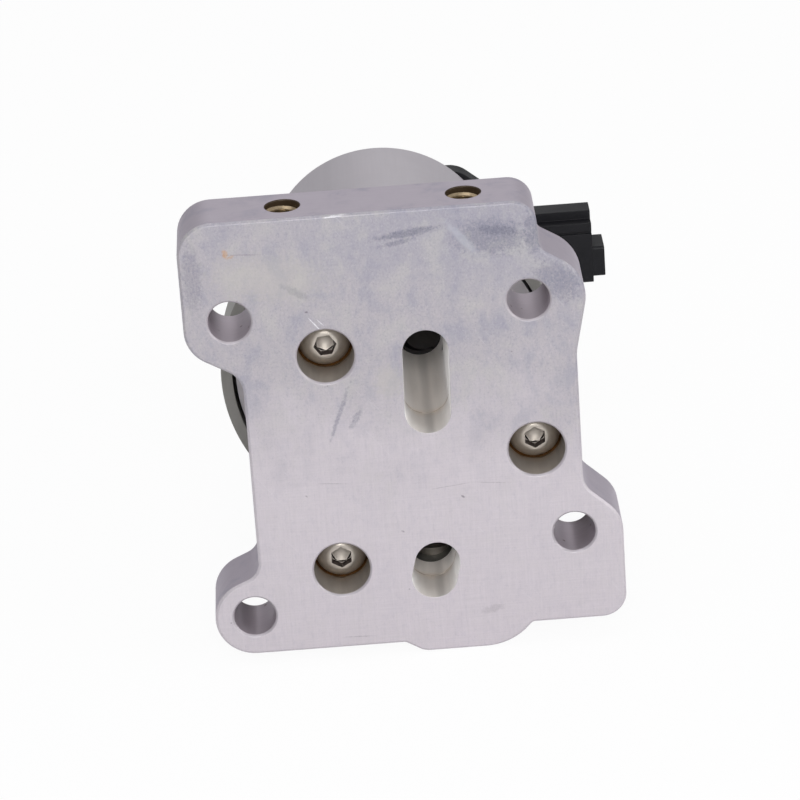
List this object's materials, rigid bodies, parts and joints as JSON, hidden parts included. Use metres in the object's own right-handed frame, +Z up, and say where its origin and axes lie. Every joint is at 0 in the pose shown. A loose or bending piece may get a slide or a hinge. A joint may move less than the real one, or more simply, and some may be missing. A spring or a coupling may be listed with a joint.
{
  "type": "fuel transfer pump",
  "caption": "Electric fuel transfer pump: eared ported mounting plate, lobed rotor pump head with valves, and a round motor can with a plug socket at the side.",
  "frame": {"origin": "point where the pump axis meets the mounting face of the plate", "axes": "+Y along the pump axis from the mounting face to the motor, +Z up the plate to its threaded edge, +X towards the plug socket"},
  "size_m": [0.0912, 0.1194, 0.0971],
  "materials": {
    "plate_aluminium": "machined, satin, stained",
    "head_aluminium": "machined, satin",
    "screw_steel": "zinc plated, bright",
    "rubber": "matt",
    "pump_steel": "ground sintered steel",
    "bell_steel": "zinc nickel plated, grey green",
    "can_steel": "satin plated sheet steel",
    "bush_bronze": "oil filled sintered bronze",
    "magnet_ferrite": "ground ceramic ferrite",
    "spring_steel": "drawn spring wire",
    "copper": "enamelled copper",
    "carbon": "pressed carbon",
    "black_plastic": "moulded glass-filled nylon",
    "insulator": "moulded phenolic",
    "terminal_tin": "tin plated",
    "washer_copper": "annealed copper"
  },
  "bodies": {
    "housing": {"mounting_plate": "plate_aluminium", "pump_screws": "screw_steel", "upper_port_seal": "rubber", "lower_port_seal": "rubber", "pump_head": "head_aluminium", "check_valve_seat": "bush_bronze", "check_valve_spring": "spring_steel", "relief_spring": "spring_steel", "valve_plugs": "screw_steel", "plug_washers": "washer_copper", "rotor_housing": "pump_steel", "rear_cover": "head_aluminium", "dowel_pins": "pump_steel", "cover_screws": "screw_steel", "front_bush": "bush_bronze", "shaft_seal": "rubber", "flange_seal": "rubber", "drive_end_bell": "bell_steel", "bell_screws": "screw_steel", "motor_can": "can_steel", "upper_magnet": "magnet_ferrite", "lower_magnet": "magnet_ferrite", "right_magnet_clip": "spring_steel", "left_magnet_clip": "spring_steel", "brush_holder": "insulator", "upper_brush_spring": "spring_steel", "lower_brush_spring": "spring_steel", "suppression_chokes": "copper", "end_cap": "black_plastic", "rear_bush": "bush_bronze", "cap_seal": "rubber", "terminal_pins": "terminal_tin", "tie_screws": "screw_steel"},
    "armature": {"armature_shaft": "pump_steel", "armature_core": "pump_steel", "armature_windings": "copper", "commutator_sleeve": "insulator", "commutator": "copper", "shaft_washers": "insulator", "inner_rotor": "pump_steel"},
    "outer_rotor": {"outer_rotor": "pump_steel"},
    "check_ball": {"check_valve_ball": "screw_steel"},
    "relief_piston": {"relief_piston": "pump_steel"},
    "upper_brush": {"upper_brush": "carbon"},
    "lower_brush": {"lower_brush": "carbon"}
  },
  "joints": [
    {"name": "armature_spin", "type": "hinge", "parent": "housing", "child": "armature", "pos_m": [0, 0.08, 0], "axis": [0, 1, 0], "continuous": true},
    {"name": "outer_rotor_spin", "type": "hinge", "parent": "housing", "child": "outer_rotor", "pos_m": [-0.0015, 0.0435, 0], "axis": [0, 1, 0], "continuous": true},
    {"name": "check_ball_lift", "type": "slide", "parent": "housing", "child": "check_ball", "axis": [0, 0, -1], "range_m": [0, 0.002], "stiffness_N_per_m": 300, "springref_m": -0.002, "deforming": ["check_valve_spring"]},
    {"name": "relief_piston_lift", "type": "slide", "parent": "housing", "child": "relief_piston", "axis": [0, 0, -1], "range_m": [0, 0.003], "stiffness_N_per_m": 1500, "springref_m": -0.004, "deforming": ["relief_spring"]},
    {"name": "upper_brush_slide", "type": "slide", "parent": "housing", "child": "upper_brush", "axis": [0, 0, 1], "range_m": [0, 0.002], "stiffness_N_per_m": 200, "springref_m": -0.004, "deforming": ["upper_brush_spring"]},
    {"name": "lower_brush_slide", "type": "slide", "parent": "housing", "child": "lower_brush", "axis": [0, 0, -1], "range_m": [0, 0.002], "stiffness_N_per_m": 200, "springref_m": -0.004, "deforming": ["lower_brush_spring"]}
  ],
  "couplings": [
    {"joint": "outer_rotor_spin", "follows": "armature_spin", "ratio": 0.85714}
  ]
}
